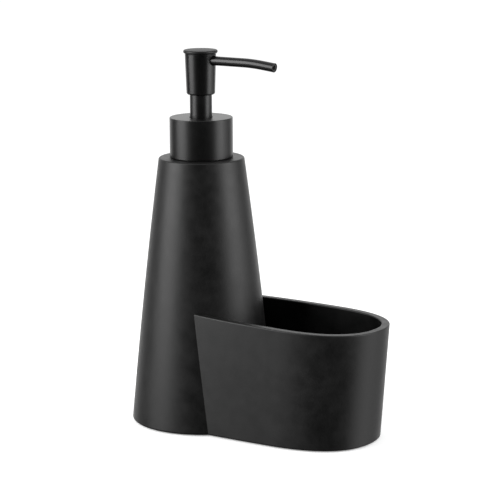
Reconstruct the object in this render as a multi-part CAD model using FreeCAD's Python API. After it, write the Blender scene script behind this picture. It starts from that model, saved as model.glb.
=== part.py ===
import FreeCAD, Part
import math
import os

from FreeCAD import Vector

# Soap pump caddy: a tall conical soap bottle and an open oval sponge trough cast in one
# piece of matte black resin, with a screw-on lotion pump whose nozzle reaches over the
# trough. Millimetres. +Z is up, +X runs from the bottle's axis to the trough's nose, and
# the origin lies on the bottle's axis in the plane that the caddy stands on.

# Shared values
overrun = 1.0
bond_gap = 0.05
full_turn = 360.0

# Standing height
pad_thickness = 1.2
pad_proud = 0.5
pad_inset = 2.3
pad_recess_gap = 0.15

# Bottle
bottle_height = 135.8
bottle_base_radius = 36.9
bottle_shoulder_radius = 21.7
bottle_side_bulge = 0.65
bottle_wall = 4.5
bottle_roof = 7.0
bottle_base_round = 1.2
bottle_rebate_wall = 3.5
bottle_shoulder_round = 0.8
bottle_cavity_round = 4.0

# Trough
trough_nose_reach = 41.1
trough_back_reach = 85.8
trough_top_nose = 105.05
trough_base_nose = 99.5
trough_top_half_width = 31.0
trough_base_half_width = 30.35
trough_top_nose_fullness_share = 0.636
trough_base_nose_fullness_share = 0.663
trough_top_back_fullness_share = 0.728
trough_base_back_fullness_share = 0.826
trough_wall = 4.0
trough_floor = 5.0
trough_floor_round = 6.0
trough_rim_height = 60.75
trough_rim_trim = 1.3
trough_rim_station = 20.0
trough_rim_drop_per_length_share = 0.0259
trough_rim_round = 0.6
trough_base_round = 1.0

# Base plate
base_plate_thickness = 3.0
base_plate_lip_height = 2.5
base_plate_lip_wall = 2.0

# Neck insert
neck_bore_gap = 1.14
neck_wall = 3.1
neck_height = 10.0
neck_flange_width = 1.7
neck_flange_thickness = 1.2
neck_spigot_step = 0.3
neck_spigot_length = 9.5

# Neck thread
thread_pitch = 4.233
neck_bead_radius = 1.1
neck_bead_turns = 1
neck_bead_start = 3.8
cap_bead_radius = 0.9
cap_bead_turns = 1
cap_bead_lag_share = 0.1
bead_arcs_per_turn = 4
thread_crest_gap = 0.4

# Collar
collar_height = 20.0
collar_wall = 0.5
collar_top_wall = 0.6
collar_top_round = 0.4
collar_shoulder_gap = 0.4
collar_hole_gap = 0.35
cap_skirt_wall = 1.35
cap_skirt_gap = 0.4
cap_web_thickness = 1.4
cap_web_gap = 0.3

# Pump housing
gasket_thickness = 1.0
gasket_inset = 0.5
housing_flange_thickness = 1.4
housing_cup_wall = 1.2
housing_cup_floor = 1.1
housing_cylinder_radius = 5.55
housing_cylinder_wall = 1.05
housing_cylinder_length = 24.4
housing_funnel_height = 2.4
housing_cage_height = 6.2
housing_cage_gap = 0.5
housing_port_radius = 1.8
housing_port_length = 1.5
housing_socket_length = 13.0
housing_socket_wall = 1.3
housing_vent_radius = 0.6
cage_nub_count = 4
cage_nub_width = 0.8
cage_nub_height = 0.8
cage_nub_reach = 1.1
seat_gap = 0.05
inlet_ball_radius = 3.0
inlet_ball_lift = 1.5

# Dip tube
dip_tube_radius = 3.25
dip_tube_wall = 0.75
dip_tube_foot_gap = 3.5
dip_tube_foot_rise = 3.2

# Retainer
retainer_barrel_wall = 1.45
retainer_floor_thickness = 1.5
retainer_flange_thickness = 1.4
retainer_flange_inset = 0.4
retainer_barrel_depth = 13.4
retainer_chimney_wall = 1.75
retainer_chimney_gap = 0.4
running_gap = 0.06

# Plunger
sleeve_radius = 5.6
sleeve_wall = 0.5
sleeve_depth = 6.7
sleeve_bare_height = 11.5
stem_radius = 3.5
stem_wall = 1.3
stem_rim = 0.5
stem_reach = 8.2
stem_foot = 1.1
stem_port_radius = 1.5
stem_port_length = 1.5
piston_height = 5.8
piston_top_gap = 0.3
piston_lip_height = 1.4
piston_waist_depth = 0.7

# Spring
spring_wire_radius = 0.4
spring_seat_gap = 0.05
spring_live_turns = 7
spring_dead_pitch = 1.3
spring_arcs_per_turn = 4

# Head
head_height = 20.35
head_step = 1.6
head_flare = 0.7
head_wall = 0.8
head_bottom_round = 1.0
head_cap_overhang = 0.77
head_cap_thickness = 1.7
head_cap_round = 0.75
head_cap_dome = 0.35
head_cap_neck_inset = 0.55
head_cap_neck_height = 0.45
head_cap_ring_depth = 0.5
head_cap_ring_gap = 0.1
core_side_gap = 0.2
core_spigot_length = 8.4
core_channel_radius = 1.5
core_bypass_width = 1.0
core_bypass_height = 0.8
core_top_gap = 0.1
discharge_ball_gap = 0.6
discharge_ball_lift = 1.2

# Nozzle
nozzle_radius = 2.33
nozzle_land = 0.42
nozzle_wall = 0.45
nozzle_inner_end = 3.0
nozzle_straight_end = 25.0
nozzle_bend_radius = 105.0
nozzle_bend_angle = 6.5
nozzle_tip_length = 7.0
nozzle_tip_round = 0.15
nozzle_entry_gap = 0.25
liner_gap = 0.06
liner_wall = 0.5
liner_recess = 0.4
seal_thickness = 1.0

# Radii worked out from the sizes above, from the stem outwards
stem_bore_radius = stem_radius - stem_wall
core_chamber_radius = stem_radius - stem_rim
discharge_ball_radius = core_chamber_radius - discharge_ball_gap
spring_coil_radius = (stem_radius + sleeve_radius - sleeve_wall) / 2
guide_radius = sleeve_radius + running_gap
barrel_radius = guide_radius + retainer_barrel_wall
cup_radius = barrel_radius + bond_gap
cup_outer_radius = cup_radius + housing_cup_wall
neck_bore_radius = cup_outer_radius + neck_bore_gap
neck_radius = neck_bore_radius + neck_wall
neck_flange_radius = neck_radius + neck_flange_width
neck_spigot_radius = neck_radius - neck_spigot_step
retainer_flange_radius = neck_radius - retainer_flange_inset
cap_inner_radius = neck_radius + neck_bead_radius + thread_crest_gap
cap_outer_radius = cap_inner_radius + cap_skirt_wall
collar_inner_radius = cap_outer_radius + bond_gap
collar_radius = collar_inner_radius + collar_wall
head_bottom_radius = sleeve_radius + head_step
head_top_radius = head_bottom_radius + head_flare
head_cap_radius = head_top_radius + head_cap_overhang
core_radius = head_bottom_radius - head_wall - core_side_gap
base_plate_radius = bottle_base_radius - bottle_rebate_wall

# Levels worked out from the sizes above
underside = pad_proud
shoulder_level = underside + bottle_height
ledge_level = pad_thickness + base_plate_thickness
trough_outline_height = trough_rim_height + trough_rim_trim
neck_flange_level = shoulder_level + neck_flange_thickness
neck_top_level = neck_flange_level + neck_height
gasket_top_level = neck_top_level + gasket_thickness
housing_top_level = gasket_top_level + housing_flange_thickness
retainer_top_level = housing_top_level + retainer_flange_thickness
collar_bottom_level = shoulder_level + collar_shoulder_gap
collar_top_level = collar_bottom_level + collar_height
retainer_floor_level = housing_top_level - retainer_barrel_depth
spring_seat_level = retainer_floor_level + retainer_floor_thickness
head_bottom = collar_top_level + sleeve_bare_height
head_top = head_bottom + head_height
stem_top = head_bottom + stem_reach
nozzle_height = head_top - nozzle_land - nozzle_entry_gap - nozzle_radius


def cylinder(radius, bottom, top):
    return Part.makeCylinder(radius, top - bottom, Vector(0, 0, bottom))


def cross_cylinder(radius, start, end, level):
    return Part.makeCylinder(radius, end - start, Vector(start, 0, level), Vector(1, 0, 0))


def turned(outline):
    points = [Vector(radius, 0, level) for radius, level in outline]
    face = Part.Face(Part.makePolygon(points + points[:1]))
    return face.revolve(Vector(0, 0, 0), Vector(0, 0, 1), full_turn)


def turned_edges(edges):
    face = Part.Face(Part.Wire(edges))
    return face.revolve(Vector(0, 0, 0), Vector(0, 0, 1), full_turn)


def line(start, end):
    return Part.LineSegment(start, end).toShape()


def arc(start, middle, end):
    return Part.Arc(start, middle, end).toShape()


def ring_edges(solid, level, radius):
    found = []
    for edge in solid.Edges:
        box = edge.BoundBox
        flat = abs(box.ZMin - level) < bond_gap and abs(box.ZMax - level) < bond_gap
        if flat and abs(box.XMax - radius) < bond_gap:
            found.append(edge)
    return found


def save(shape, name):
    shape.exportStep("parts/" + name + ".step")


# A helix of round wire: arcs in pairs join points of the helix with its own tangents
def helix_point(radius, level_at, turn):
    angle = math.radians(full_turn * turn)
    return Vector(radius * math.cos(angle), radius * math.sin(angle), level_at(turn))


def helix_tangent(radius, slope_at, turn):
    angle = math.radians(full_turn * turn)
    around = math.radians(full_turn) * radius
    direction = Vector(-around * math.sin(angle), around * math.cos(angle), slope_at(turn))
    return direction.normalize()


def corner_arc(start, corner, end):
    middle = (start + end) * 0.5
    rise = corner - middle
    half_chord = (end - start).Length * 0.5
    leg = (corner - start).Length
    sag = half_chord * rise.Length / (leg + half_chord)
    return arc(start, middle + rise.normalize() * sag, end)


def arc_pair(start, start_way, end, end_way):
    span = end - start
    both = start_way + end_way
    bend = 2 * (1 - start_way.dot(end_way))
    along = span.dot(both)
    reach = (math.sqrt(along * along + bend * span.dot(span)) - along) / bend
    near = start + start_way * reach
    far = end - end_way * reach
    join = (near + far) * 0.5
    return [corner_arc(start, near, join), corner_arc(join, far, end)]


def helix_rod(coil_radius, wire_radius, level_at, slope_at, first_turn, turns, arcs_per_turn):
    steps = int(round(turns * arcs_per_turn))
    stations = [first_turn + turns * step / steps for step in range(steps + 1)]
    points = [helix_point(coil_radius, level_at, turn) for turn in stations]
    ways = [helix_tangent(coil_radius, slope_at, turn) for turn in stations]
    edges = []
    for step in range(steps):
        edges += arc_pair(points[step], ways[step], points[step + 1], ways[step + 1])
    spine = Part.Wire(edges)
    circle = Part.Circle(points[0], ways[0], wire_radius).toShape()
    return spine.makePipeShell([Part.Wire([circle])], True, False)


# Bottle and trough: one casting
def side_radius(level):
    share = (level - underside) / bottle_height
    straight = bottle_base_radius + (bottle_shoulder_radius - bottle_base_radius) * share
    return straight + 4 * bottle_side_bulge * share * (1 - share)


def bottle_form(bottom, top, wall):
    middle = (bottom + top) / 2
    low = Vector(side_radius(bottom) - wall, 0, bottom)
    waist = Vector(side_radius(middle) - wall, 0, middle)
    high = Vector(side_radius(top) - wall, 0, top)
    base = Vector(0, 0, bottom)
    crown = Vector(0, 0, top)
    return turned_edges([line(base, low), arc(low, waist, high), line(high, crown), line(crown, base)])


# The trough's outline is four curves, each from one axis of the oval to the next. It is
# widest nearer its nose. Fullness is how far the curves' handles reach towards the corner:
# more is squarer.
def oval_wire(share, inset, level):
    nose = trough_base_nose + (trough_top_nose - trough_base_nose) * share
    width = trough_base_half_width + (trough_top_half_width - trough_base_half_width) * share
    nose_fullness = trough_base_nose_fullness_share
    nose_fullness += (trough_top_nose_fullness_share - trough_base_nose_fullness_share) * share
    back_fullness = trough_base_back_fullness_share
    back_fullness += (trough_top_back_fullness_share - trough_base_back_fullness_share) * share
    widest = nose - trough_nose_reach
    breadth = width - inset
    edges = []
    for reach, fullness in ((trough_nose_reach - inset, nose_fullness),
                            (inset - trough_back_reach, back_fullness)):
        for side in (breadth, -breadth):
            poles = [
                Vector(widest + reach, 0, level),
                Vector(widest + reach, side * fullness, level),
                Vector(widest + reach * fullness, side, level),
                Vector(widest, side, level)]
            curve = Part.BezierCurve()
            curve.setPoles(poles if reach * side > 0 else poles[::-1])
            edges.append(curve.toShape())
    nose_left, nose_right, back_left, back_right = edges
    return Part.Wire([nose_left, back_left, back_right, nose_right])


def oval_at(level, inset):
    return oval_wire((level - underside) / trough_outline_height, inset, level)


def oval_form(bottom, top, inset):
    return Part.makeLoft([oval_at(bottom, inset), oval_at(top, inset)], True, True)


def above_rim():
    start = trough_base_nose - trough_nose_reach - trough_back_reach - overrun
    end = trough_top_nose + overrun
    roof = underside + 2 * trough_outline_height
    side = max(trough_base_half_width, trough_top_half_width) + overrun
    corners = []
    for station in (start, end):
        drop = (station - trough_rim_station) * trough_rim_drop_per_length_share
        corners.append(Vector(station, -side, underside + trough_rim_height - drop))
    corners += [Vector(end, -side, roof), Vector(start, -side, roof)]
    face = Part.Face(Part.makePolygon(corners + corners[:1]))
    return face.extrude(Vector(0, 2 * side, 0))


def make_trough():
    roof = underside + trough_outline_height
    floor = underside + trough_floor
    hollow = oval_form(floor, roof + overrun, trough_wall)
    floor_edges = [edge for edge in hollow.Edges if edge.BoundBox.ZMax < floor + bond_gap]
    hollow = hollow.makeFillet(trough_floor_round, floor_edges)
    solid = oval_form(underside, roof, 0)
    base_edges = [edge for edge in solid.Edges if edge.BoundBox.ZMax < underside + bond_gap]
    solid = solid.makeFillet(trough_base_round, base_edges)
    solid = solid.cut(hollow).cut(above_rim())
    rim_low = underside + trough_rim_height - trough_top_nose * trough_rim_drop_per_length_share
    rim_edges = [edge for edge in solid.Edges if edge.BoundBox.ZMin > rim_low - trough_wall]
    return solid.makeFillet(trough_rim_round, rim_edges)


def pad_outline(grow, bottom, top):
    disc = cylinder(bottle_base_radius - pad_inset + grow, bottom, top)
    tray = Part.Face(oval_wire(0, pad_inset - grow, bottom)).extrude(Vector(0, 0, top - bottom))
    return disc.fuse(tray).removeSplitter()


def make_caddy_body():
    bottle = bottle_form(underside, shoulder_level, 0)
    bottle = bottle.makeFillet(bottle_base_round, ring_edges(bottle, underside, bottle_base_radius))
    bottle = bottle.makeFillet(
        bottle_shoulder_round, ring_edges(bottle, shoulder_level, bottle_shoulder_radius))
    cavity_top = shoulder_level - bottle_roof
    cavity = bottle_form(ledge_level - overrun, cavity_top, bottle_wall)
    cavity_top_radius = side_radius(cavity_top) - bottle_wall
    cavity = cavity.makeFillet(
        bottle_cavity_round, ring_edges(cavity, cavity_top, cavity_top_radius))
    body = bottle.fuse(make_trough())
    body = body.cut(cavity)
    body = body.cut(cylinder(base_plate_radius + bond_gap, underside - overrun, ledge_level))
    body = body.cut(cylinder(neck_spigot_radius + bond_gap, cavity_top - overrun,
                             shoulder_level + overrun))
    return body.cut(pad_outline(pad_recess_gap, underside - overrun, pad_thickness))


def make_base_plate():
    lip_radius = side_radius(ledge_level) - bottle_wall - bond_gap
    lip_level = ledge_level + base_plate_lip_height
    lip_radius = min(lip_radius, side_radius(lip_level) - bottle_wall - bond_gap)
    return turned([
        (0, pad_thickness),
        (base_plate_radius, pad_thickness),
        (base_plate_radius, ledge_level),
        (lip_radius, ledge_level),
        (lip_radius, lip_level),
        (lip_radius - base_plate_lip_wall, lip_level),
        (lip_radius - base_plate_lip_wall, ledge_level),
        (0, ledge_level)])


# Neck insert: threaded plastic neck bonded into the bottle's mouth
def thread_level(start):
    return lambda turn: start + thread_pitch * turn


def thread_slope(turn):
    return thread_pitch


def make_neck_insert():
    spigot_level = shoulder_level - neck_spigot_length
    neck = turned([
        (neck_bore_radius, spigot_level),
        (neck_spigot_radius, spigot_level),
        (neck_spigot_radius, shoulder_level),
        (neck_flange_radius, shoulder_level),
        (neck_flange_radius, neck_flange_level),
        (neck_radius, neck_flange_level),
        (neck_radius, neck_top_level),
        (neck_bore_radius, neck_top_level)])
    start = neck_flange_level + neck_bead_start
    bead = helix_rod(neck_radius, neck_bead_radius, thread_level(start), thread_slope,
                     0, neck_bead_turns, bead_arcs_per_turn)
    return neck.fuse(bead)


# Collar: painted metal shell pressed over a threaded plastic cap
def make_collar_shell():
    inner = collar_inner_radius
    hole = sleeve_radius + collar_hole_gap
    shell = turned([
        (inner, collar_bottom_level),
        (collar_radius, collar_bottom_level),
        (collar_radius, collar_top_level),
        (hole, collar_top_level),
        (hole, collar_top_level - collar_top_wall),
        (inner, collar_top_level - collar_top_wall)])
    return shell.makeFillet(collar_top_round, ring_edges(shell, collar_top_level, collar_radius))


def make_closure():
    outer = cap_outer_radius
    inner = cap_inner_radius
    web_hole = guide_radius + retainer_chimney_wall + cap_web_gap
    skirt_level = neck_flange_level + cap_skirt_gap
    web_level = retainer_top_level
    cap = turned([
        (inner, skirt_level),
        (outer, skirt_level),
        (outer, collar_top_level - collar_top_wall),
        (inner, collar_top_level - collar_top_wall),
        (inner, web_level + cap_web_thickness),
        (web_hole, web_level + cap_web_thickness),
        (web_hole, web_level),
        (inner, web_level)])
    start = neck_flange_level + neck_bead_start - thread_pitch / 2
    bead = helix_rod(inner, cap_bead_radius, thread_level(start), thread_slope,
                     cap_bead_lag_share, cap_bead_turns, bead_arcs_per_turn)
    return cap.fuse(bead)


# Pump unit: housing, gasket, retainer, dip tube, return spring and inlet ball
cup_floor_level = retainer_floor_level - bond_gap
cylinder_floor_level = cup_floor_level - housing_cylinder_length
cage_top_level = cylinder_floor_level - housing_funnel_height
cage_radius = inlet_ball_radius + housing_cage_gap
seat_rim_level = cage_top_level - housing_cage_height
seat_throat_level = seat_rim_level - (cage_radius - housing_port_radius)
socket_top_level = seat_throat_level - housing_port_length
socket_bottom_level = socket_top_level - housing_socket_length
seat_apex_level = seat_throat_level - housing_port_radius
inlet_ball_level = seat_apex_level + (inlet_ball_radius + seat_gap) * math.sqrt(2)


def make_neck_gasket():
    outer = neck_radius - gasket_inset
    return cylinder(outer, neck_top_level, gasket_top_level).cut(
        cylinder(neck_bore_radius, neck_top_level - overrun, gasket_top_level + overrun))


def make_pump_housing():
    cylinder_outer = housing_cylinder_radius + housing_cylinder_wall
    socket_radius = dip_tube_radius + bond_gap
    socket_outer = socket_radius + housing_socket_wall
    housing = turned([
        (retainer_flange_radius, gasket_top_level),
        (retainer_flange_radius, housing_top_level),
        (cup_radius, housing_top_level),
        (cup_radius, cup_floor_level),
        (housing_cylinder_radius, cup_floor_level),
        (housing_cylinder_radius, cylinder_floor_level),
        (cage_radius, cage_top_level),
        (cage_radius, seat_rim_level),
        (housing_port_radius, seat_throat_level),
        (housing_port_radius, socket_top_level),
        (socket_radius, socket_top_level),
        (socket_radius, socket_bottom_level),
        (socket_outer, socket_bottom_level),
        (socket_outer, cage_top_level - housing_cylinder_wall),
        (cylinder_outer, cylinder_floor_level - housing_cylinder_wall),
        (cylinder_outer, cup_floor_level - housing_cup_floor),
        (cup_outer_radius, cup_floor_level - housing_cup_floor),
        (cup_outer_radius, gasket_top_level)])
    nub_start = cage_radius - cage_nub_reach
    nub_bottom = inlet_ball_level + inlet_ball_radius + inlet_ball_lift + seat_gap
    for nub in range(cage_nub_count):
        block = Part.makeBox(cage_nub_reach + bond_gap, cage_nub_width, cage_nub_height,
                             Vector(nub_start, -cage_nub_width / 2, nub_bottom))
        block.rotate(Vector(0, 0, 0), Vector(0, 0, 1), full_turn * nub / cage_nub_count)
        housing = housing.fuse(block)
    vent_level = (cup_floor_level + gasket_top_level) / 2
    return housing.cut(cross_cylinder(housing_vent_radius, 0, cup_outer_radius + overrun, vent_level))


def make_retainer():
    chimney = guide_radius + retainer_chimney_wall
    chimney_level = collar_top_level - collar_top_wall - retainer_chimney_gap
    stem_hole = stem_radius + running_gap
    return turned([
        (stem_hole, retainer_floor_level),
        (barrel_radius, retainer_floor_level),
        (barrel_radius, housing_top_level),
        (retainer_flange_radius, housing_top_level),
        (retainer_flange_radius, retainer_top_level),
        (chimney, retainer_top_level),
        (chimney, chimney_level),
        (guide_radius, chimney_level),
        (guide_radius, spring_seat_level),
        (stem_hole, spring_seat_level)])


def make_dip_tube():
    foot_level = ledge_level + dip_tube_foot_gap
    tube = cylinder(dip_tube_radius, foot_level, socket_top_level).cut(
        cylinder(dip_tube_radius - dip_tube_wall, foot_level - overrun, socket_top_level + overrun))
    side = dip_tube_radius + overrun
    corners = [
        Vector(-side, -side, foot_level - overrun),
        Vector(side, -side, foot_level - overrun),
        Vector(side, -side, foot_level + dip_tube_foot_rise)]
    wedge = Part.Face(Part.makePolygon(corners + corners[:1])).extrude(Vector(0, 2 * side, 0))
    return tube.cut(wedge)


def make_inlet_ball():
    return Part.makeSphere(inlet_ball_radius, Vector(0, 0, inlet_ball_level))


core_foot_level = head_bottom + head_wall - core_spigot_length
spring_bottom = spring_seat_level + spring_seat_gap + spring_wire_radius
spring_top = core_foot_level - spring_seat_gap - spring_wire_radius
spring_turns = spring_live_turns + 2
spring_live_pitch = (spring_top - spring_bottom - 2 * spring_dead_pitch) / spring_live_turns


def spring_level(turn):
    if turn <= 1:
        return spring_bottom + spring_dead_pitch * turn
    if turn >= spring_turns - 1:
        return spring_top - spring_dead_pitch * (spring_turns - turn)
    return spring_bottom + spring_dead_pitch + spring_live_pitch * (turn - 1)


def spring_slope(turn):
    if turn < 1 or turn > spring_turns - 1:
        return spring_dead_pitch
    if turn in (1, spring_turns - 1):
        return (spring_dead_pitch + spring_live_pitch) / 2
    return spring_live_pitch


def make_return_spring():
    return helix_rod(spring_coil_radius, spring_wire_radius, spring_level, spring_slope,
                     0, spring_turns, spring_arcs_per_turn)


def spring_least_gap():
    samples = 24
    count = spring_turns * samples
    places = [helix_point(spring_coil_radius, spring_level, step / samples)
              for step in range(count + 1)]
    least = min((places[first] - places[second]).Length
                for first in range(count + 1)
                for second in range(first + samples // 2, count + 1))
    return least - 2 * spring_wire_radius


# Plunger: piston, hollow stem and the sleeve that covers it
piston_top_level = retainer_floor_level - piston_top_gap
piston_bottom_level = piston_top_level - piston_height


def make_piston():
    outer = housing_cylinder_radius - running_gap
    waist = outer - piston_waist_depth
    return turned([
        (stem_radius, piston_bottom_level),
        (outer, piston_bottom_level),
        (outer, piston_bottom_level + piston_lip_height),
        (waist, piston_bottom_level + 2 * piston_lip_height),
        (waist, piston_top_level - 2 * piston_lip_height),
        (outer, piston_top_level - piston_lip_height),
        (outer, piston_top_level),
        (stem_radius, piston_top_level)])


# The stem's top is the discharge valve's seat: a cone that narrows to a port
def make_piston_stem():
    port_top = stem_top - (core_chamber_radius - stem_port_radius)
    port_bottom = port_top - stem_port_length
    bore_top = port_bottom - (stem_bore_radius - stem_port_radius)
    return turned([
        (stem_bore_radius, piston_bottom_level - stem_foot),
        (stem_radius, piston_bottom_level - stem_foot),
        (stem_radius, stem_top),
        (core_chamber_radius, stem_top),
        (stem_port_radius, port_top),
        (stem_port_radius, port_bottom),
        (stem_bore_radius, bore_top)])


def make_stem_sleeve():
    bottom = collar_top_level - sleeve_depth
    return cylinder(sleeve_radius, bottom, head_bottom + head_wall).cut(
        cylinder(sleeve_radius - sleeve_wall, bottom - overrun, head_bottom + head_wall + overrun))


# Head: plastic core with the discharge valve, metal shell, cap and nozzle
discharge_seat_apex = stem_top - core_chamber_radius
discharge_ball_level = discharge_seat_apex + (discharge_ball_radius + seat_gap) * math.sqrt(2)


def head_side_radius(level):
    share = (level - head_bottom) / (head_top - head_bottom)
    return head_bottom_radius + (head_top_radius - head_bottom_radius) * share


def make_actuator_core():
    block_bottom = head_bottom + head_wall
    block_top = head_top - core_top_gap
    ball_top = discharge_ball_level + discharge_ball_radius
    chamber_top = ball_top + discharge_ball_lift + seat_gap
    core = cylinder(core_radius, block_bottom, block_top)
    core = core.fuse(cylinder(sleeve_radius - sleeve_wall - bond_gap, core_foot_level, block_bottom))
    core = core.cut(cylinder(stem_radius + bond_gap, core_foot_level - overrun, stem_top))
    core = core.cut(cylinder(core_chamber_radius, stem_top - overrun, chamber_top))
    slot_length = 2 * core_chamber_radius - core_bypass_width
    for length, width in ((slot_length, core_bypass_width), (core_bypass_width, slot_length)):
        core = core.cut(Part.makeBox(length, width, core_bypass_height,
                                     Vector(-length / 2, -width / 2, chamber_top)))
    core = core.cut(cylinder(core_channel_radius, stem_top, nozzle_height))
    core = core.cut(cross_cylinder(core_channel_radius, 0, nozzle_inner_end, nozzle_height))
    return core.cut(cross_cylinder(nozzle_radius + bond_gap, nozzle_inner_end - seal_thickness,
                                   core_radius + overrun, nozzle_height))


def make_nozzle_seal():
    start = nozzle_inner_end - seal_thickness
    return cross_cylinder(nozzle_radius, start, nozzle_inner_end, nozzle_height).cut(
        cross_cylinder(core_channel_radius, start - overrun, nozzle_inner_end + overrun, nozzle_height))


def make_head_shell():
    inner_bottom = head_bottom + head_wall
    hole = sleeve_radius + bond_gap
    shell = turned([
        (hole, head_bottom),
        (head_bottom_radius, head_bottom),
        (head_top_radius, head_top),
        (head_top_radius - head_wall, head_top),
        (head_side_radius(inner_bottom) - head_wall, inner_bottom),
        (hole, inner_bottom)])
    shell = shell.makeFillet(head_bottom_round, ring_edges(shell, head_bottom, head_bottom_radius))
    entry = cross_cylinder(nozzle_radius + nozzle_entry_gap, core_radius,
                           head_top_radius + overrun, nozzle_height)
    return shell.cut(entry)


def make_head_cap():
    disc_bottom = head_top + head_cap_neck_height
    disc_top = disc_bottom + head_cap_thickness
    ring_bottom = head_top - head_cap_ring_depth
    ring_outer = head_top_radius - head_wall - head_cap_ring_gap
    ring_inner = core_radius + head_cap_ring_gap
    disc = cylinder(head_cap_radius, disc_bottom, disc_top)
    disc = disc.makeFillet(head_cap_round, [edge for edge in disc.Edges if edge.Closed])
    flat_radius = head_cap_radius - head_cap_round
    rim = Vector(flat_radius, 0, disc_top)
    crown = Vector(0, 0, disc_top + head_cap_dome)
    middle = Vector(flat_radius / 2, 0, disc_top + 3 * head_cap_dome / 4)
    centre = Vector(0, 0, disc_top)
    dome = turned_edges([line(centre, rim), arc(rim, middle, crown), line(crown, centre)])
    neck = cylinder(head_top_radius - head_cap_neck_inset, head_top, disc_bottom)
    ring = cylinder(ring_outer, ring_bottom, head_top).cut(
        cylinder(ring_inner, ring_bottom - overrun, head_top))
    return disc.fuse([dome, neck, ring]).removeSplitter()


def nozzle_path():
    turn = math.radians(nozzle_bend_angle)
    start = Vector(nozzle_inner_end, 0, nozzle_height)
    bend_start = Vector(nozzle_straight_end, 0, nozzle_height)
    bend_middle = bend_start + Vector(math.sin(turn / 2), 0, math.cos(turn / 2) - 1) * nozzle_bend_radius
    bend_end = bend_start + Vector(math.sin(turn), 0, math.cos(turn) - 1) * nozzle_bend_radius
    tip = bend_end + Vector(math.cos(turn), 0, -math.sin(turn)) * nozzle_tip_length
    return start, bend_start, bend_middle, bend_end, tip


def nozzle_sweep(radius, shorten):
    start, bend_start, bend_middle, bend_end, tip = nozzle_path()
    way = (tip - bend_end).normalize()
    path = Part.Wire([
        line(start, bend_start),
        arc(bend_start, bend_middle, bend_end),
        line(bend_end, tip - way * shorten)])
    circle = Part.Circle(start, Vector(1, 0, 0), radius).toShape()
    return path.makePipeShell([Part.Wire([circle])], True, False)


def make_nozzle_tube():
    tip = nozzle_path()[4]
    tube = nozzle_sweep(nozzle_radius, 0)
    tip_edges = [edge for edge in tube.Edges
                 if edge.Closed and (edge.CenterOfMass - tip).Length < bond_gap]
    tube = tube.makeFillet(nozzle_tip_round, tip_edges)
    bore = nozzle_sweep(nozzle_radius - nozzle_wall, 0)
    return tube.cut(bore)


def make_nozzle_liner():
    outer = nozzle_radius - nozzle_wall - liner_gap
    return nozzle_sweep(outer, liner_recess).cut(nozzle_sweep(outer - liner_wall, liner_recess))


def make_discharge_ball():
    return Part.makeSphere(discharge_ball_radius, Vector(0, 0, discharge_ball_level))


os.makedirs("parts", exist_ok=True)
save(make_caddy_body(), "caddy_body")
save(make_base_plate(), "base_plate")
save(pad_outline(0, 0, pad_thickness), "base_pad")
save(make_neck_insert(), "neck_insert")
save(make_neck_gasket(), "neck_gasket")
save(make_pump_housing(), "pump_housing")
save(make_retainer(), "retainer")
save(make_dip_tube(), "dip_tube")
save(make_return_spring(), "return_spring")
save(make_inlet_ball(), "inlet_ball")
save(make_collar_shell(), "collar_shell")
save(make_closure(), "closure")
save(make_piston(), "piston")
save(make_piston_stem(), "piston_stem")
save(make_stem_sleeve(), "stem_sleeve")
save(make_actuator_core(), "actuator_core")
save(make_discharge_ball(), "discharge_ball")
save(make_head_shell(), "head_shell")
save(make_head_cap(), "head_cap")
save(make_nozzle_tube(), "nozzle_tube")
save(make_nozzle_liner(), "nozzle_liner")
save(make_nozzle_seal(), "nozzle_seal")
print("spring least gap", round(spring_least_gap(), 3), "mm")
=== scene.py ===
import bpy
import math
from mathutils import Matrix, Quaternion, Vector


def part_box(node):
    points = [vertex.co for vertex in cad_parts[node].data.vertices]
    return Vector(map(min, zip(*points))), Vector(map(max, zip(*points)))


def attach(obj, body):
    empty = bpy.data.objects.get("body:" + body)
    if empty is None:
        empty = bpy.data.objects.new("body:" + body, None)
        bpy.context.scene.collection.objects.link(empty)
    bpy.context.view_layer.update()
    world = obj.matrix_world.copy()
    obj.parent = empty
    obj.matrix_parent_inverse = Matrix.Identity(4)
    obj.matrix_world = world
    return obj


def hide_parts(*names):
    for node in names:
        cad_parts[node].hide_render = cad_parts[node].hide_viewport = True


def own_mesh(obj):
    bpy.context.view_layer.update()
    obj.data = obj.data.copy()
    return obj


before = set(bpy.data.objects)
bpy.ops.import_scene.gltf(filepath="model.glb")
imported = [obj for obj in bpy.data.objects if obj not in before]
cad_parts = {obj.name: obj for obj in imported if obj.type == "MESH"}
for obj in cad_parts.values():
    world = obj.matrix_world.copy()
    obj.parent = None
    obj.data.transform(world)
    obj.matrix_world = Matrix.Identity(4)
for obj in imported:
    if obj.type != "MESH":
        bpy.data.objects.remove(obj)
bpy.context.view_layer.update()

# Camera
# The photograph's viewing angle: a long lens 1.15 m away, 32 degrees round to the trough's
# side and 11 degrees above the table.
camera_azimuth = math.radians(32.47)
camera_elevation = math.radians(11.47)
camera_roll = math.radians(-0.364)
camera_distance = 1.1528
camera_aim = Vector((0.02874, 0, 0.0911))
camera_lens = 164.78


def way_round(azimuth, elevation):
    """The way out from the caddy, turned round from its side and up from the table."""
    return Vector((math.sin(azimuth) * math.cos(elevation),
                   -math.cos(azimuth) * math.cos(elevation),
                   math.sin(elevation)))


towards_camera = way_round(camera_azimuth, camera_elevation)
bpy.ops.object.camera_add(location=camera_aim + towards_camera * camera_distance)
camera = bpy.context.object
camera.rotation_mode = "QUATERNION"
camera.rotation_quaternion = (
    (-towards_camera).to_track_quat("-Z", "Y") @ Quaternion((0, 0, 1), camera_roll))
camera.data.lens = camera_lens
bpy.context.scene.camera = camera

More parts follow.
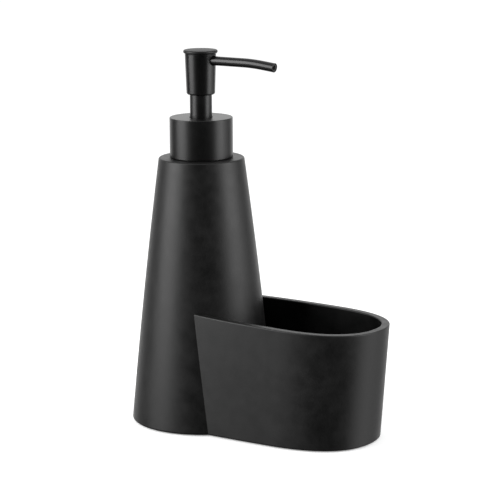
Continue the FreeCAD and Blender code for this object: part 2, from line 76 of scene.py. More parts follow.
# Floor
# A wide sheet of white paper, bright enough to run into the background. Only a faint soft
# shadow shows on it round the foot of the caddy. It lies a hair below the foam pad.
floor_size = 30
floor_drop = 0.00002
paper_white = (0.9, 0.9, 0.9, 1)
paper_glow = 0.3
bpy.ops.mesh.primitive_plane_add(size=floor_size, location=(0, 0, -floor_drop))
floor = bpy.context.object
floor.name = "floor"
floor.visible_glossy = False
paper = bpy.data.materials.new("white_paper")
paper.use_nodes = True
paper_shader = paper.node_tree.nodes["Principled BSDF"]
paper_shader.inputs["Base Color"].default_value = paper_white
paper_shader.inputs["Roughness"].default_value = 1
paper_shader.inputs["Specular IOR Level"].default_value = 0
paper_shader.inputs["Emission Color"].default_value = (1, 1, 1, 1)
paper_shader.inputs["Emission Strength"].default_value = paper_glow
floor.data.materials.append(paper)

# Room
# A white backdrop behind the caddy and a dark room on the camera's side, which the black
# surfaces mirror: pale where they are seen edge on, nearly black where they face the camera.
# The table glows a little at both sides, under the softboxes, and so does the ceiling.
fill_strength = 0.82
seen_backdrop_strength = 1.05
scene = bpy.context.scene
scene.view_settings.view_transform = "Standard"
room = bpy.data.worlds.new("room")
scene.world = room
room.use_nodes = True
room.cycles.sampling_method = "NONE"
room_nodes = room.node_tree.nodes
room_links = room.node_tree.links
room_nodes.clear()
room_output = room_nodes.new("ShaderNodeOutputWorld")
ray_kind = room_nodes.new("ShaderNodeLightPath")
room_coordinates = room_nodes.new("ShaderNodeTexCoord")


def add_glow(way, start, end, dim, bright):
    """Light that grows as a mirrored ray turns towards a way, between two cosines."""
    facing = room_nodes.new("ShaderNodeVectorMath")
    facing.operation = "DOT_PRODUCT"
    facing.inputs[1].default_value = way
    room_links.new(room_coordinates.outputs["Generated"], facing.inputs[0])
    glow = room_nodes.new("ShaderNodeMapRange")
    glow.interpolation_type = "SMOOTHSTEP"
    glow.inputs["From Min"].default_value = start
    glow.inputs["From Max"].default_value = end
    glow.inputs["To Min"].default_value = dim
    glow.inputs["To Max"].default_value = bright
    room_links.new(facing.outputs["Value"], glow.inputs["Value"])
    return glow.outputs["Result"]


left_glow_turn = math.radians(-70)
right_glow_turn = math.radians(88)
table_glow_rise = math.radians(-18)
backdrop_glow = add_glow(
    -way_round(camera_azimuth, 0), start=0.45, end=0.97, dim=0.03, bright=1.3)
left_table_glow = add_glow(
    way_round(camera_azimuth + left_glow_turn, table_glow_rise),
    start=0.8, end=1, dim=0, bright=0.45)
right_table_glow = add_glow(
    way_round(camera_azimuth + right_glow_turn, table_glow_rise),
    start=0.8, end=1, dim=0, bright=1.2)
overhead_glow = add_glow(Vector((0, 0, 1)), start=0.6, end=0.95, dim=0, bright=0.7)
mirrored_light = backdrop_glow
for glow in (left_table_glow, right_table_glow, overhead_glow):
    adding = room_nodes.new("ShaderNodeMath")
    room_links.new(mirrored_light, adding.inputs[0])
    room_links.new(glow, adding.inputs[1])
    mirrored_light = adding.outputs["Value"]
backdrop_reflected = room_nodes.new("ShaderNodeBackground")
room_links.new(mirrored_light, backdrop_reflected.inputs["Strength"])
room_fill = room_nodes.new("ShaderNodeBackground")
room_fill.inputs["Strength"].default_value = fill_strength
backdrop_seen = room_nodes.new("ShaderNodeBackground")
backdrop_seen.inputs["Strength"].default_value = seen_backdrop_strength
for background in (backdrop_reflected, room_fill, backdrop_seen):
    background.inputs["Color"].default_value = (1, 1, 1, 1)
glossy_or_fill = room_nodes.new("ShaderNodeMixShader")
room_links.new(ray_kind.outputs["Is Glossy Ray"], glossy_or_fill.inputs["Fac"])
room_links.new(room_fill.outputs["Background"], glossy_or_fill.inputs[1])
room_links.new(backdrop_reflected.outputs["Background"], glossy_or_fill.inputs[2])
seen_or_not = room_nodes.new("ShaderNodeMixShader")
room_links.new(ray_kind.outputs["Is Camera Ray"], seen_or_not.inputs["Fac"])
room_links.new(glossy_or_fill.outputs["Shader"], seen_or_not.inputs[1])
room_links.new(backdrop_seen.outputs["Background"], seen_or_not.inputs[2])
room_links.new(seen_or_not.outputs["Shader"], room_output.inputs["Surface"])


# Softboxes
# Two tall softboxes stand above the table, one to each side of the camera's line. They draw
# the pale upright bands on the bottle, the collar and the head.
def add_softbox(name, turn, rise, distance, width, height, radiance):
    """A lamp turned round from the camera's line and up from the table, in degrees."""
    way = way_round(camera_azimuth + math.radians(turn), math.radians(rise))
    bpy.ops.object.light_add(type="AREA", location=camera_aim + way * distance)
    lamp = bpy.context.object
    lamp.name = name
    lamp.rotation_mode = "QUATERNION"
    lamp.rotation_quaternion = way.to_track_quat("Z", "Y")
    lamp.data.shape = "RECTANGLE"
    lamp.data.size = width
    lamp.data.size_y = height
    lamp.data.energy = radiance * math.pi * width * height
    lamp.visible_camera = False


add_softbox("left_softbox", turn=-76, rise=19, distance=0.9, width=0.66, height=0.8, radiance=5)
add_softbox("right_softbox", turn=72, rise=19, distance=0.9, width=0.56, height=0.8, radiance=3.9)

# Caddy body: bottle
# One hollow casting of black-dyed resin holds the soap bottle and the sponge trough. The
# bottle is a tall cone whose sides swell a little between its rounded base and shoulder.
mm = 0.001
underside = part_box("caddy_body")[0].z
bottle_height = 135.8 * mm
bottle_base_radius = 36.9 * mm
bottle_shoulder_radius = 21.7 * mm
bottle_side_bulge = 0.65 * mm
bottle_base_round = 1.2 * mm
bottle_shoulder_round = 0.8 * mm
bottle_sides = 256
bottle_rings = 16
near = 0.02 * mm
shoulder_level = underside + bottle_height


def side_outline(low, high, steps, wall):
    """Radius and level pairs up the bottle's side, set in by a wall."""
    pairs = []
    for step in range(steps + 1):
        level = low + (high - low) * step / steps
        share = (level - underside) / bottle_height
        straight = bottle_base_radius + (bottle_shoulder_radius - bottle_base_radius) * share
        pairs.append((straight + 4 * bottle_side_bulge * share * (1 - share) - wall, level))
    return pairs


def take_up(piece):
    """Makes a piece the only selected one, for the next operator."""
    bpy.ops.object.select_all(action="DESELECT")
    piece.select_set(True)
    bpy.context.view_layer.objects.active = piece


def settle(piece, name):
    """Names a new piece and puts its place into its mesh."""
    take_up(piece)
    bpy.ops.object.transform_apply(location=True, rotation=True, scale=True)
    piece.name = name
    return piece


def edit(piece, chosen=None):
    """Opens a piece's mesh with all of it selected, or the edges whose ends are both chosen."""
    take_up(piece)
    bpy.ops.object.mode_set(mode="EDIT")
    bpy.ops.mesh.select_mode(type="EDGE")
    if chosen is None:
        bpy.ops.mesh.select_all(action="SELECT")
        return
    bpy.ops.mesh.select_all(action="DESELECT")
    bpy.ops.object.mode_set(mode="OBJECT")
    corners = piece.data.vertices
    for edge in piece.data.edges:
        edge.select = all(chosen(corners[end].co) for end in edge.vertices)
    bpy.ops.object.mode_set(mode="EDIT")


def close_mesh(piece):
    """Turns a piece's faces outwards and leaves its mesh."""
    bpy.ops.mesh.select_all(action="SELECT")
    bpy.ops.mesh.normals_make_consistent(inside=False)
    bpy.ops.object.mode_set(mode="OBJECT")


def turn_solid(name, outline, sides=192):
    """A turned solid: a disc drawn ring by ring through (radius, level) pairs."""
    radius, level = outline[0]
    bpy.ops.mesh.primitive_circle_add(
        vertices=sides, radius=radius, location=(0, 0, level), fill_type="NGON")
    piece = settle(bpy.context.object, name)
    edit(piece)
    for next_radius, next_level in outline[1:]:
        bpy.ops.mesh.extrude_region_move(
            TRANSFORM_OT_translate={"value": (0, 0, next_level - level)})
        share = next_radius / radius
        bpy.ops.transform.resize(value=(share, share, 1), center_override=(0, 0, next_level))
        radius, level = next_radius, next_level
    close_mesh(piece)
    return piece


def round_ring(piece, radius, level, size, steps=6):
    """Rounds the sharp ring that lies at a radius and a level."""
    edit(piece, lambda at: abs(at.z - level) < near and abs(at.xy.length - radius) < near)
    bpy.ops.mesh.bevel(offset=size, segments=steps, affect="EDGES")
    close_mesh(piece)


def combine(piece, other, operation):
    """Fuses another closed solid to a piece, or cuts it away."""
    take_up(piece)
    joint = piece.modifiers.new("joint", "BOOLEAN")
    joint.operation = operation
    joint.solver = "EXACT"
    joint.object = other
    bpy.ops.object.modifier_apply(modifier=joint.name)
    bpy.data.objects.remove(other)


caddy_body = turn_solid(
    "caddy_body_casting", side_outline(underside, shoulder_level, bottle_rings, wall=0),
    bottle_sides)
round_ring(caddy_body, bottle_base_radius, underside, bottle_base_round)
round_ring(caddy_body, bottle_shoulder_radius, shoulder_level, bottle_shoulder_round)

# Caddy body: trough
# The trough is an oval cup with a 4 mm wall and a wide round at its floor. It grows out of
# the bottle's side and flares a little upwards, and its rim falls gently towards the nose.
trough_nose_reach = 41.1 * mm
trough_back_reach = 85.8 * mm
trough_base_nose = 99.5 * mm
trough_top_nose = 105.05 * mm
trough_base_half_width = 30.35 * mm
trough_top_half_width = 31 * mm
trough_base_nose_fullness = 0.663
trough_top_nose_fullness = 0.636
trough_base_back_fullness = 0.826
trough_top_back_fullness = 0.728
trough_wall = 4 * mm
trough_base_round = 1 * mm
trough_rim_round = 0.6 * mm
trough_floor_round = 6 * mm
trough_floor_thickness = 5 * mm
trough_floor_level = underside + trough_floor_thickness
trough_outline_height = 62.05 * mm
rim_height = 60.75 * mm
rim_station = 20 * mm
rim_fall_share = 0.0259
oval_steps = 48
skin_rings = 7
clear_height = 100 * mm


def blend_sizes(base, top, share):
    return base + (top - base) * share


def draw_oval(share, inset, level):
    """A ring of edges round the trough: share 0 is its base's outline and 1 its top's."""
    nose = blend_sizes(trough_base_nose, trough_top_nose, share)
    half_width = blend_sizes(trough_base_half_width, trough_top_half_width, share) - inset
    nose_fullness = blend_sizes(trough_base_nose_fullness, trough_top_nose_fullness, share)
    back_fullness = blend_sizes(trough_base_back_fullness, trough_top_back_fullness, share)
    bpy.ops.curve.primitive_bezier_circle_add(radius=1)
    ring = bpy.context.object
    ring.data.resolution_u = oval_steps
    points = ring.data.splines[0].bezier_points
    for point in points:
        point.handle_left_type = "FREE"
        point.handle_right_type = "FREE"
    for point in points:
        spots = [point.co.copy()]
        for handle in (point.handle_left, point.handle_right):
            way = (handle - point.co).normalized()
            fullness = back_fullness if point.co.x + way.x < 0 else nose_fullness
            spots.append(point.co + way * fullness)
        for spot in spots:
            reach = trough_nose_reach if spot.x > 0 else trough_back_reach
            spot.x = nose - trough_nose_reach + spot.x * (reach - inset)
            spot.y *= half_width
            spot.z = level
        point.co, point.handle_left, point.handle_right = spots
    take_up(ring)
    bpy.ops.object.convert(target="MESH")
    return settle(bpy.context.object, "trough_ring")


def close_floor(piece, level, size):
    """Closes the ring of edges at a level with a flat face and rounds the face's edge."""
    edit(piece, lambda at: abs(at.z - level) < near)
    bpy.ops.mesh.edge_face_add()
    bpy.ops.mesh.bevel(offset=size, segments=8, affect="EDGES")
    bpy.ops.object.mode_set(mode="OBJECT")


def bridge_to(piece, ring, rings_between=0):
    """Joins a ring of edges, or another open skin, to a piece's open edge by bands of faces."""
    take_up(piece)
    ring.select_set(True)
    bpy.ops.object.join()
    edit(piece)
    bpy.ops.mesh.select_all(action="DESELECT")
    bpy.ops.mesh.select_non_manifold()
    bpy.ops.mesh.bridge_edge_loops(number_cuts=rings_between, interpolation="LINEAR")
    close_mesh(piece)


def draw_skin(bottom, inset, foot_round):
    """A closed floor with a round edge and the side that rises from it to the rim's plane."""
    skin = draw_oval((bottom - underside) / trough_outline_height, inset, bottom)
    bridge_to(skin, draw_oval(1, inset, underside + trough_outline_height), skin_rings)
    close_floor(skin, bottom, foot_round)
    edit(skin)
    bpy.ops.mesh.bisect(
        plane_co=(rim_station, 0, underside + rim_height), plane_no=(rim_fall_share, 0, 1),
        clear_outer=True)
    close_mesh(skin)
    return skin


# The inner skin is joined rim to rim with the outer one high above it, and then let down.
trough = draw_skin(underside, inset=0, foot_round=trough_base_round)
hollow = draw_skin(trough_floor_level, inset=trough_wall, foot_round=trough_floor_round)
hollow.location.z = clear_height
bridge_to(trough, settle(hollow, "hollow"))
edit(trough, lambda at: at.z > clear_height)
bpy.ops.transform.translate(value=(0, 0, -clear_height))
close_mesh(trough)
edit(trough, lambda at: abs(
    at.z - underside - rim_height + (at.x - rim_station) * rim_fall_share) < near)
bpy.ops.mesh.region_to_loop()
bpy.ops.mesh.bevel(offset=trough_rim_round, segments=6, affect="EDGES")
close_mesh(trough)
combine(caddy_body, trough, "UNION")

# Caddy body: hollows
# The bottle is open from below until its base plate is bonded in, and its mouth is bored for
# the neck. A shallow recess under both takes the foam pad.
bottle_wall = 4.5 * mm
bottle_roof = 7 * mm
cavity_round = 4 * mm
cavity_rings = 12
plate_thickness = 3 * mm
plate_top_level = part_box("base_plate")[0].z + plate_thickness
plate_seat_radius = 33.45 * mm
mouth_radius = 12.35 * mm
pad_top_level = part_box("base_pad")[1].z
pad_disc_radius = 34.6 * mm
pad_inset = 2.3 * mm
pad_recess_gap = 0.15 * mm
cut_overrun = 1 * mm


def draw_pad_form(name, grow, bottom, top):
    """The pad's outline, a disc run into an oval, between two levels."""
    form = turn_solid(
        name, [(pad_disc_radius + grow, bottom), (pad_disc_radius + grow, top)], bottle_sides)
    oval = draw_oval(0, pad_inset - grow, bottom)
    edit(oval)
    bpy.ops.mesh.edge_face_add()
    bpy.ops.mesh.extrude_region_move(TRANSFORM_OT_translate={"value": (0, 0, top - bottom)})
    close_mesh(oval)
    combine(form, oval, "UNION")
    return form


cavity_top = shoulder_level - bottle_roof
cavity_side = side_outline(plate_top_level, cavity_top, cavity_rings, bottle_wall)
cavity = turn_solid(
    "cavity",
    [(plate_seat_radius, -cut_overrun), (plate_seat_radius, plate_top_level)]
    + cavity_side
    + [(mouth_radius, cavity_top), (mouth_radius, shoulder_level + cut_overrun)],
    bottle_sides)
round_ring(cavity, cavity_side[-1][0], cavity_top, cavity_round)
combine(caddy_body, cavity, "DIFFERENCE")
combine(caddy_body, draw_pad_form("recess", pad_recess_gap, -cut_overrun, pad_top_level),
        "DIFFERENCE")


def smooth(piece, angle=30):
    """Shades a piece round, with its wide faces kept true up to the small rounds beside them."""
    take_up(piece)
    bpy.ops.object.shade_smooth_by_angle(angle=math.radians(angle))
    shading = piece.modifiers.new("shading", "WEIGHTED_NORMAL")
    shading.keep_sharp = True
    bpy.ops.object.modifier_apply(modifier=shading.name)


smooth(caddy_body)

# The faces inside the trough are marked so that shade can be painted into the trough's hollow.
floor_allowance = 1 * mm
floor_facing = 0.3
cone_allowance = 0.3 * mm
trough_middle = Vector((trough_top_nose - trough_nose_reach, 0, 0))
inside = caddy_body.data.attributes.new("inside", "FLOAT", "FACE")
for face, mark in zip(caddy_body.data.polygons, inside.data):
    spot, way = face.center, face.normal
    rim_level = underside + rim_height - (spot.x - rim_station) * rim_fall_share
    cone_radius = side_outline(spot.z, spot.z, steps=1, wall=0)[0][0]
    mark.value = float(
        trough_floor_level - floor_allowance < spot.z < rim_level - trough_rim_round
        and (way.xy.dot((spot - trough_middle).xy) < 0 or way.z > floor_facing)
        and spot.xy.length > cone_radius + cone_allowance)


def finish_with(piece, material, body, node):
    """Gives a modelled piece its material and body, in place of its CAD node."""
    piece.data.materials.clear()
    piece.data.materials.append(material)
    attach(piece, body)
    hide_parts(node)


# The surface of a moulded, cast or painted piece: its colour, gloss and level wander in soft
# clouds, and a fine grain changes its gloss and stands up from it.
cloud_gloss = 0.5
cloud_height = 0.6
surface = bpy.data.node_groups.new("cast_surface", "ShaderNodeTree")
for label, kind in (
        ("Dark", "NodeSocketColor"), ("Light", "NodeSocketColor"),
        ("Cloud Scale", "NodeSocketFloat"), ("Grain Scale", "NodeSocketFloat"),
        ("Gloss Low", "NodeSocketFloat"), ("Gloss High", "NodeSocketFloat")):
    surface.interface.new_socket(label, in_out="INPUT", socket_type=kind)
for label, kind in (
        ("Colour", "NodeSocketColor"), ("Roughness", "NodeSocketFloat"),
        ("Height", "NodeSocketFloat")):
    surface.interface.new_socket(label, in_out="OUTPUT", socket_type=kind)
nodes, links = surface.nodes, surface.links
given = nodes.new("NodeGroupInput")
result = nodes.new("NodeGroupOutput")
place = nodes.new("ShaderNodeTexCoord")
clouds = nodes.new("ShaderNodeTexNoise")
clouds.inputs["Detail"].default_value = 4
clouds.inputs["Roughness"].default_value = 0.6
grain = nodes.new("ShaderNodeTexNoise")
grain.inputs["Detail"].default_value = 3
grain.inputs["Roughness"].default_value = 0.55
cloud_share = nodes.new("ShaderNodeMapRange")
cloud_share.inputs["From Min"].default_value = 0.3
cloud_share.inputs["From Max"].default_value = 0.7
colour = nodes.new("ShaderNodeMix")
colour.data_type = "RGBA"
gloss_share = nodes.new("ShaderNodeMath")
gloss_share.operation = "MULTIPLY_ADD"
gloss_share.use_clamp = True
gloss_share.inputs[1].default_value = cloud_gloss
gloss = nodes.new("ShaderNodeMapRange")
level = nodes.new("ShaderNodeMath")
level.operation = "MULTIPLY_ADD"
level.inputs[1].default_value = cloud_height
links.new(place.outputs["Object"], clouds.inputs["Vector"])
links.new(place.outputs["Object"], grain.inputs["Vector"])
links.new(given.outputs["Cloud Scale"], clouds.inputs["Scale"])
links.new(given.outputs["Grain Scale"], grain.inputs["Scale"])
links.new(clouds.outputs["Fac"], cloud_share.inputs["Value"])
links.new(cloud_share.outputs["Result"], colour.inputs["Factor"])
links.new(given.outputs["Dark"], colour.inputs["A"])
links.new(given.outputs["Light"], colour.inputs["B"])
links.new(colour.outputs["Result"], result.inputs["Colour"])
links.new(cloud_share.outputs["Result"], gloss_share.inputs[0])
links.new(grain.outputs["Fac"], gloss_share.inputs[2])
links.new(gloss_share.outputs["Value"], gloss.inputs["Value"])
links.new(given.outputs["Gloss Low"], gloss.inputs["To Min"])
links.new(given.outputs["Gloss High"], gloss.inputs["To Max"])
links.new(gloss.outputs["Result"], result.inputs["Roughness"])
links.new(clouds.outputs["Fac"], level.inputs[0])
links.new(grain.outputs["Fac"], level.inputs[2])
links.new(level.outputs["Value"], result.inputs["Height"])


def mix_material(name, dark, light, clouds_per_metre, grains_per_metre, roughness,
                 grain_height, metallic=0.0):
    """A material on the cast surface. Roughness is a low and high pair, height is in metres."""
    material = bpy.data.materials.new(name)
    material.use_nodes = True
    tree = material.node_tree
    shader = tree.nodes["Principled BSDF"]
    shader.inputs["Metallic"].default_value = metallic
    face = tree.nodes.new("ShaderNodeGroup")
    face.node_tree = surface
    face.inputs["Dark"].default_value = (*dark, 1)
    face.inputs["Light"].default_value = (*light, 1)
    face.inputs["Cloud Scale"].default_value = clouds_per_metre
    face.inputs["Grain Scale"].default_value = grains_per_metre
    face.inputs["Gloss Low"].default_value = roughness[0]
    face.inputs["Gloss High"].default_value = roughness[1]
    bump = tree.nodes.new("ShaderNodeBump")
    bump.inputs["Strength"].default_value = 1
    bump.inputs["Distance"].default_value = grain_height
    tree.links.new(face.outputs["Colour"], shader.inputs["Base Color"])
    tree.links.new(face.outputs["Roughness"], shader.inputs["Roughness"])
    tree.links.new(face.outputs["Height"], bump.inputs["Height"])
    tree.links.new(bump.outputs["Normal"], shader.inputs["Normal"])
    return material


matte_resin = mix_material(
    "matte_resin", dark=(0.0022, 0.0022, 0.0022), light=(0.0062, 0.0061, 0.0061),
    clouds_per_metre=140, grains_per_metre=2600, roughness=(0.34, 0.49),
    grain_height=0.03 * mm)
# The marked faces are given a share of black metal, which takes most of their mirror away. This
# is painted shade that darkens the trough's hollow.
inside_painted_shade = 0.67
resin_nodes, resin_links = matte_resin.node_tree.nodes, matte_resin.node_tree.links
inside_mark = resin_nodes.new("ShaderNodeAttribute")
inside_mark.attribute_name = "inside"
painted_shade_range = resin_nodes.new("ShaderNodeMapRange")
painted_shade_range.inputs["To Max"].default_value = inside_painted_shade
resin_links.new(inside_mark.outputs["Fac"], painted_shade_range.inputs["Value"])
resin_links.new(painted_shade_range.outputs["Result"], resin_nodes["Principled BSDF"].inputs["Metallic"])
finish_with(caddy_body, matte_resin, "caddy", "caddy_body")

# Base plate
# A disc of black plastic is bonded into the bottle's open foot and seals it. It is moulded,
# with the faint even bloom of a satin tool.
base_plastic = mix_material(
    "base_plastic", dark=(0.012, 0.012, 0.012), light=(0.018, 0.018, 0.018),
    clouds_per_metre=90, grains_per_metre=3000, roughness=(0.42, 0.55),
    grain_height=0.02 * mm)


def dress(node, material):
    """Gives a CAD node its own material."""
    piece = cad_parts[node]
    piece.data.materials.clear()
    piece.data.materials.append(material)


dress("base_plate", base_plastic)

# Base pad
# A die-cut sheet of soft black foam is glued into the recess under the caddy and stands half
# a millimetre proud of it. Its cut edges are slightly rounded.
pad_edge_round = 0.25 * mm
pad_edge_angle = math.radians(60)
base_pad = draw_pad_form("base_pad_foam", grow=0, bottom=0, top=pad_top_level)
edit(base_pad)
bpy.ops.mesh.select_all(action="DESELECT")
bpy.ops.mesh.edges_select_sharp(sharpness=pad_edge_angle)
bpy.ops.mesh.bevel(offset=pad_edge_round, segments=3, affect="EDGES")
close_mesh(base_pad)
smooth(base_pad)
base_foam = mix_material(
    "base_foam", dark=(0.014, 0.014, 0.014), light=(0.024, 0.024, 0.024),
    clouds_per_metre=200, grains_per_metre=1800, roughness=(0.85, 0.95),
    grain_height=0.2 * mm)
finish_with(base_pad, base_foam, "caddy", "base_pad")

# Neck
# A threaded neck of black plastic is bonded into the bottle's mouth, and a ring of dark
# rubber seals the pump's flange to its top.
cap_plastic = mix_material(
    "cap_plastic", dark=(0.010, 0.010, 0.010), light=(0.016, 0.016, 0.016),
    clouds_per_metre=120, grains_per_metre=4000, roughness=(0.36, 0.46),
    grain_height=0.01 * mm)
dress("neck_insert", cap_plastic)
seal_rubber = mix_material(
    "seal_rubber", dark=(0.020, 0.020, 0.021), light=(0.030, 0.030, 0.031),
    clouds_per_metre=150, grains_per_metre=5000, roughness=(0.70, 0.82),
    grain_height=0.02 * mm)
dress("neck_gasket", seal_rubber)

# Pump unit
# The pump's housing, piston and stem are moulded in milky plastic, its dip tube is soft and
# clear-white, and a black retainer holds them together. None of this shows until the collar
# is undone.
pump_plastic = mix_material(
    "pump_plastic", dark=(0.62, 0.62, 0.60), light=(0.70, 0.70, 0.68),
    clouds_per_metre=80, grains_per_metre=3500, roughness=(0.34, 0.44),
    grain_height=0.01 * mm)
pump_plastic.node_tree.nodes["Principled BSDF"].inputs["Subsurface Weight"].default_value = 0.15
soft_plastic = mix_material(
    "soft_plastic", dark=(0.66, 0.67, 0.66), light=(0.74, 0.75, 0.74),
    clouds_per_metre=60, grains_per_metre=3000, roughness=(0.28, 0.36),
    grain_height=0.01 * mm)
soft_plastic.node_tree.nodes["Principled BSDF"].inputs["Subsurface Weight"].default_value = 0.25
dress("pump_housing", pump_plastic)
dress("dip_tube", soft_plastic)
dress("retainer", cap_plastic)
dress("piston", soft_plastic)
dress("piston_stem", pump_plastic)

# Valve balls
# Two polished steel balls, one at the housing's foot and one on top of the stem, open and
# close with each stroke.
ball_steel = mix_material(
    "ball_steel", dark=(0.56, 0.56, 0.57), light=(0.64, 0.64, 0.65),
    clouds_per_metre=300, grains_per_metre=3000, roughness=(0.08, 0.14),
    grain_height=0.001 * mm, metallic=1)
dress("inlet_ball", ball_steel)
dress("discharge_ball", ball_steel)

# Return spring
# A coil of bright drawn steel wire sits round the stem inside the retainer. Its end turns
# lie close together.
spring_coil_radius = 4.3 * mm
spring_wire_radius = 0.4 * mm
spring_turns = 9
spring_end_pitch = 1.3 * mm
spring_steps = 40
wire_sides = 16
quarter_turn = math.radians(90)
spring_low, spring_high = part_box("return_spring")
spring_foot = spring_low.z + spring_wire_radius
spring_rise = spring_high.z - spring_low.z - 2 * spring_wire_radius
spring_pitch = (spring_rise - 2 * spring_end_pitch) / (spring_turns - 2)
bpy.ops.object.select_all(action="DESELECT")
bpy.ops.mesh.primitive_circle_add(
    vertices=wire_sides, radius=spring_wire_radius, location=(spring_coil_radius, 0, spring_foot),
    rotation=(quarter_turn, 0, 0))
spring = settle(bpy.context.object, "return_spring_coil")
coil = spring.modifiers.new("coil", "SCREW")
coil.iterations = spring_turns
coil.screw_offset = spring_pitch
coil.steps = spring_steps
coil.render_steps = spring_steps
bpy.ops.object.modifier_apply(modifier=coil.name)
for index, corner in enumerate(spring.data.vertices):
    turn = index // wire_sides / spring_steps
    close = min(turn, 1) + max(turn - (spring_turns - 1), 0)
    corner.co.z += close * (spring_end_pitch - spring_pitch)
edit(spring)
bpy.ops.mesh.fill_holes(sides=0)
close_mesh(spring)
smooth(spring, angle=40)
spring_steel = mix_material(
    "spring_steel", dark=(0.42, 0.42, 0.43), light=(0.52, 0.52, 0.53),
    clouds_per_metre=400, grains_per_metre=6000, roughness=(0.20, 0.30),
    grain_height=0.002 * mm, metallic=1)
finish_with(spring, spring_steel, "pump_unit", "return_spring")
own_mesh(spring)

# Collar
# A drawn metal shell in satin black lacquer is pressed over a ribless black screw cap. Its
# top edge is softly rounded, and the stem's sleeve runs through the hole in its top.
collar_radius = 16 * mm
collar_wall = 0.5 * mm
collar_top_wall = 0.6 * mm
collar_top_round = 0.4 * mm
collar_hole_radius = 5.95 * mm
collar_lip_round = 0.15 * mm
collar_sides = 256
collar_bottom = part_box("collar_shell")[0].z
collar_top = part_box("collar_shell")[1].z


def turn_ring(name, outline, sides=192):
    """A turned hollow ring: a circle drawn through (radius, level) pairs back to its start."""
    radius, level = outline[0]
    bpy.ops.mesh.primitive_circle_add(vertices=sides, radius=radius, location=(0, 0, level))
    piece = settle(bpy.context.object, name)
    edit(piece)
    for next_radius, next_level in outline[1:]:
        bpy.ops.mesh.extrude_edges_move(
            TRANSFORM_OT_translate={"value": (0, 0, next_level - level)})
        share = next_radius / radius
        bpy.ops.transform.resize(value=(share, share, 1), center_override=(0, 0, next_level))
        radius, level = next_radius, next_level
    bpy.ops.mesh.select_all(action="DESELECT")
    bpy.ops.mesh.select_non_manifold()
    bpy.ops.mesh.bridge_edge_loops()
    close_mesh(piece)
    return piece


collar = turn_ring("collar_shell_drawn", [
    (collar_radius - collar_wall, collar_bottom),
    (collar_radius, collar_bottom),
    (collar_radius, collar_top),
    (collar_hole_radius, collar_top),
    (collar_hole_radius, collar_top - collar_top_wall),
    (collar_radius - collar_wall, collar_top - collar_top_wall)], collar_sides)
round_ring(collar, collar_radius, collar_top, collar_top_round)
round_ring(collar, collar_radius, collar_bottom, collar_lip_round, steps=3)
round_ring(collar, collar_hole_radius, collar_top, collar_lip_round, steps=3)
smooth(collar)
black_lacquer = mix_material(
    "black_lacquer", dark=(0.0014, 0.0014, 0.0014), light=(0.0042, 0.0042, 0.0042),
    clouds_per_metre=120, grains_per_metre=5000, roughness=(0.31, 0.37),
    grain_height=0.008 * mm)
finish_with(collar, black_lacquer, "collar", "collar_shell")
dress("closure", cap_plastic)

# Stem sleeve
# A lacquered metal tube covers the plastic stem between the collar and the head, and slides
# down through the collar when the head is pressed.
sleeve_radius = 5.6 * mm
sleeve_wall = 0.5 * mm
sleeve_low, sleeve_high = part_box("stem_sleeve")
sleeve = turn_ring("stem_sleeve_tube", [
    (sleeve_radius - sleeve_wall, sleeve_low.z),
    (sleeve_radius, sleeve_low.z),
    (sleeve_radius, sleeve_high.z),
    (sleeve_radius - sleeve_wall, sleeve_high.z)])
smooth(sleeve)
finish_with(sleeve, black_lacquer, "head", "stem_sleeve")

# Head shell
# The head is a thin metal cup on a plastic core, lacquered a little glossier than the collar.
# It widens slightly upwards, its lower edge is rounded, and the nozzle leaves it through a
# hole just under its top.
head_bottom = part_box("head_shell")[0].z
head_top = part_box("head_shell")[1].z
head_bottom_radius = 7.2 * mm
head_top_radius = 7.9 * mm
head_wall = 0.8 * mm
head_bottom_round = 1 * mm
head_hole_radius = 5.65 * mm
nozzle_radius = 2.33 * mm
nozzle_hole_radius = 2.58 * mm
nozzle_hole_depth = 6 * mm
tube_sides = 64
nozzle_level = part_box("nozzle_seal")[0].z + nozzle_radius
head_slope = (head_top_radius - head_bottom_radius) / (head_top - head_bottom)
head_shell = turn_ring("head_shell_drawn", [
    (head_hole_radius, head_bottom),
    (head_bottom_radius, head_bottom),
    (head_top_radius, head_top),
    (head_top_radius - head_wall, head_top),
    (head_bottom_radius - head_wall + head_slope * head_wall, head_bottom + head_wall),
    (head_hole_radius, head_bottom + head_wall)])
round_ring(head_shell, head_bottom_radius, head_bottom, head_bottom_round)
bpy.ops.mesh.primitive_cylinder_add(
    vertices=tube_sides, radius=nozzle_hole_radius, depth=nozzle_hole_depth,
    location=(head_top_radius, 0, nozzle_level), rotation=(0, quarter_turn, 0))
combine(head_shell, settle(bpy.context.object, "nozzle_hole"), "DIFFERENCE")
smooth(head_shell)
head_lacquer = mix_material(
    "head_lacquer", dark=(0.0014, 0.0014, 0.0014), light=(0.0022, 0.0022, 0.0022),
    clouds_per_metre=120, grains_per_metre=5000, roughness=(0.26, 0.32),
    grain_height=0.006 * mm)
finish_with(head_shell, head_lacquer, "head", "head_shell")
dress("actuator_core", cap_plastic)

# Head cap
# A lacquered disc with a full rounded rim and a faintly domed top closes the head. It sits on
# a short neck, which leaves a fine shadow line above the shell. Its finish is the dullest.
cap_ring_inner = 6.3 * mm
cap_ring_outer = 7 * mm
cap_neck_radius = 7.35 * mm
cap_neck_height = 0.45 * mm
cap_radius = 8.67 * mm
cap_thickness = 1.7 * mm
cap_round = 0.75 * mm
cap_dome = 0.35 * mm
dome_steps = 8
dome_set_in = 0.01 * mm
cap_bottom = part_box("head_cap")[0].z
disc_bottom = head_top + cap_neck_height
disc_top = disc_bottom + cap_thickness
flat_radius = cap_radius - cap_round
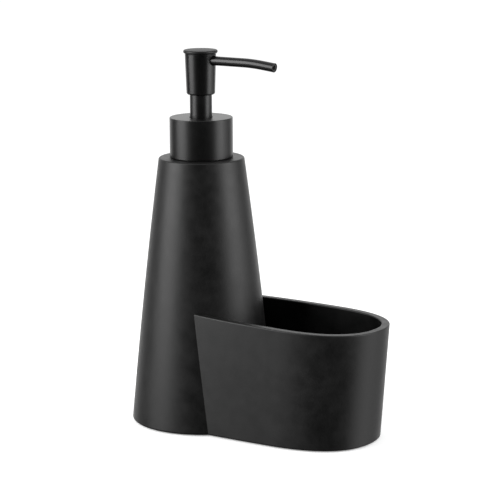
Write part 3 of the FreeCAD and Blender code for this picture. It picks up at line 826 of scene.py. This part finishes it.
# The dome starts a hair inside the rim's round, which leaves the round its room.
dome = []
for step in range(1, dome_steps):
    reach = 1 - step / dome_steps
    dome.append((flat_radius * reach, disc_top + cap_dome * (1 - reach * reach)))
head_cap = turn_solid("head_cap_disc", [
    (cap_ring_inner, head_top),
    (cap_ring_inner, cap_bottom),
    (cap_ring_outer, cap_bottom),
    (cap_ring_outer, head_top),
    (cap_neck_radius, head_top),
    (cap_neck_radius, disc_bottom),
    (cap_radius, disc_bottom),
    (cap_radius, disc_top),
    (flat_radius - dome_set_in, disc_top)] + dome)
round_ring(head_cap, cap_radius, disc_bottom, cap_round)
round_ring(head_cap, cap_radius, disc_top, cap_round)
smooth(head_cap, angle=40)
disc_lacquer = mix_material(
    "disc_lacquer", dark=(0.0016, 0.0016, 0.0016), light=(0.0026, 0.0026, 0.0026),
    clouds_per_metre=120, grains_per_metre=5000, roughness=(0.44, 0.5),
    grain_height=0.008 * mm)
finish_with(head_cap, disc_lacquer, "head", "head_cap")

# Nozzle
# A thin steel tube in the glossiest lacquer leaves the head level, bends gently down over the
# trough and ends in an open, square-cut tip. A soft plastic liner carries the soap inside it,
# and a rubber ring seals it to the core.
nozzle_wall = 0.45 * mm
nozzle_inner_end = 3 * mm
nozzle_bend_start = 25 * mm
nozzle_bend_radius = 105 * mm
nozzle_bend_angle = math.radians(6.5)
nozzle_bend_steps = 12
nozzle_tip_length = 7 * mm
nozzle_tip_round = 0.15 * mm
liner_gap = 0.06 * mm
liner_wall = 0.5 * mm
liner_recess = 0.4 * mm
weld_gap = 0.001 * mm
nozzle_reach = (nozzle_bend_start + nozzle_bend_radius * math.sin(nozzle_bend_angle)
                + nozzle_tip_length * math.cos(nozzle_bend_angle))


def draw_tube(name, radius, wall, shorten):
    """A tube along the nozzle's line: straight out, bent down, then straight to its tip."""
    bpy.ops.mesh.primitive_circle_add(
        vertices=tube_sides, radius=radius, location=(nozzle_inner_end, 0, nozzle_level),
        rotation=(0, quarter_turn, 0))
    tube = settle(bpy.context.object, name)
    edit(tube)
    bpy.ops.mesh.extrude_edges_move(
        TRANSFORM_OT_translate={"value": (nozzle_bend_start - nozzle_inner_end, 0, 0)})
    bpy.ops.mesh.spin(
        steps=nozzle_bend_steps, angle=nozzle_bend_angle, axis=(0, -1, 0),
        center=(nozzle_bend_start, 0, nozzle_level - nozzle_bend_radius))
    tip = nozzle_tip_length - shorten
    bpy.ops.mesh.extrude_edges_move(TRANSFORM_OT_translate={
        "value": (tip * math.cos(nozzle_bend_angle), 0, -tip * math.sin(nozzle_bend_angle))})
    bpy.ops.mesh.select_all(action="SELECT")
    bpy.ops.mesh.remove_doubles(threshold=weld_gap)
    close_mesh(tube)
    thick = tube.modifiers.new("wall", "SOLIDIFY")
    thick.thickness = wall
    thick.offset = -1
    thick.use_even_offset = True
    bpy.ops.object.modifier_apply(modifier=thick.name)
    return tube


nozzle = draw_tube("nozzle_tube_drawn", nozzle_radius, nozzle_wall, shorten=0)
edit(nozzle, lambda at: at.x > nozzle_reach - nozzle_radius)
bpy.ops.mesh.bevel(offset=nozzle_tip_round, segments=3, affect="EDGES")
close_mesh(nozzle)
smooth(nozzle)
tube_lacquer = mix_material(
    "tube_lacquer", dark=(0.0016, 0.0016, 0.0016), light=(0.0026, 0.0026, 0.0026),
    clouds_per_metre=120, grains_per_metre=5000, roughness=(0.21, 0.25),
    grain_height=0.003 * mm)
finish_with(nozzle, tube_lacquer, "head", "nozzle_tube")
liner = draw_tube(
    "nozzle_liner_tube", nozzle_radius - nozzle_wall - liner_gap, liner_wall, liner_recess)
smooth(liner)
liner_plastic = mix_material(
    "liner_plastic", dark=(0.030, 0.030, 0.030), light=(0.045, 0.045, 0.045),
    clouds_per_metre=100, grains_per_metre=3000, roughness=(0.35, 0.45),
    grain_height=0.01 * mm)
finish_with(liner, liner_plastic, "head", "nozzle_liner")
dress("nozzle_seal", seal_rubber)
